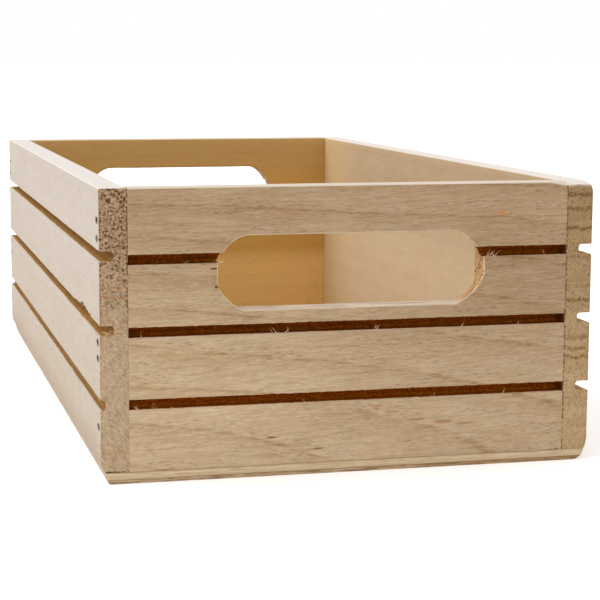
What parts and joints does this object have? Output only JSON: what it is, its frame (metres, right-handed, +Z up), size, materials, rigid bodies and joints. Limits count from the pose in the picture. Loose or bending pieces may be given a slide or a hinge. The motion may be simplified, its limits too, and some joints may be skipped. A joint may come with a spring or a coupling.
{
  "type": "wooden crate",
  "caption": "Shallow open-topped wooden crate with grooved walls that look slatted, a hand hole through each end and a thin plywood bottom.",
  "frame": {"origin": "middle of the underside, on the ground", "axes": "+Z up; +Y along the crate, from the front end panel to the rear one; +X across the crate, to the right seen from the front"},
  "size_m": [0.2, 0.38, 0.114],
  "materials": {
    "side_wood_pale": "unfinished sanded pale softwood, left side board",
    "side_wood_tan": "unfinished sanded tan softwood, right side board",
    "front_wood": "unfinished sanded tan softwood with cathedral grain",
    "rear_wood": "unfinished sanded warm brown softwood",
    "plywood": "thin plywood, raw edges, a pale ply over a darker one",
    "brad_steel": "dull wire brad, slightly tarnished"
  },
  "bodies": {
    "root": {"left_side_board": "side_wood_pale", "right_side_board": "side_wood_tan", "front_end_panel": "front_wood", "rear_end_panel": "rear_wood", "plywood_bottom": "plywood", "side_brad_front_left_1": "brad_steel", "side_brad_front_left_2": "brad_steel", "side_brad_front_left_3": "brad_steel", "side_brad_front_left_4": "brad_steel", "side_brad_front_left_5": "brad_steel", "side_brad_front_right_1": "brad_steel", "side_brad_front_right_2": "brad_steel", "side_brad_front_right_3": "brad_steel", "side_brad_front_right_4": "brad_steel", "side_brad_front_right_5": "brad_steel", "side_brad_rear_left_1": "brad_steel", "side_brad_rear_left_2": "brad_steel", "side_brad_rear_left_3": "brad_steel", "side_brad_rear_left_4": "brad_steel", "side_brad_rear_left_5": "brad_steel", "side_brad_rear_right_1": "brad_steel", "side_brad_rear_right_2": "brad_steel", "side_brad_rear_right_3": "brad_steel", "side_brad_rear_right_4": "brad_steel", "side_brad_rear_right_5": "brad_steel", "bottom_brad_left_1": "brad_steel", "bottom_brad_left_2": "brad_steel", "bottom_brad_left_3": "brad_steel", "bottom_brad_left_4": "brad_steel", "bottom_brad_right_1": "brad_steel", "bottom_brad_right_2": "brad_steel", "bottom_brad_right_3": "brad_steel", "bottom_brad_right_4": "brad_steel", "bottom_brad_front_1": "brad_steel", "bottom_brad_front_2": "brad_steel", "bottom_brad_front_3": "brad_steel", "bottom_brad_rear_1": "brad_steel", "bottom_brad_rear_2": "brad_steel", "bottom_brad_rear_3": "brad_steel"}
  },
  "joints": []
}
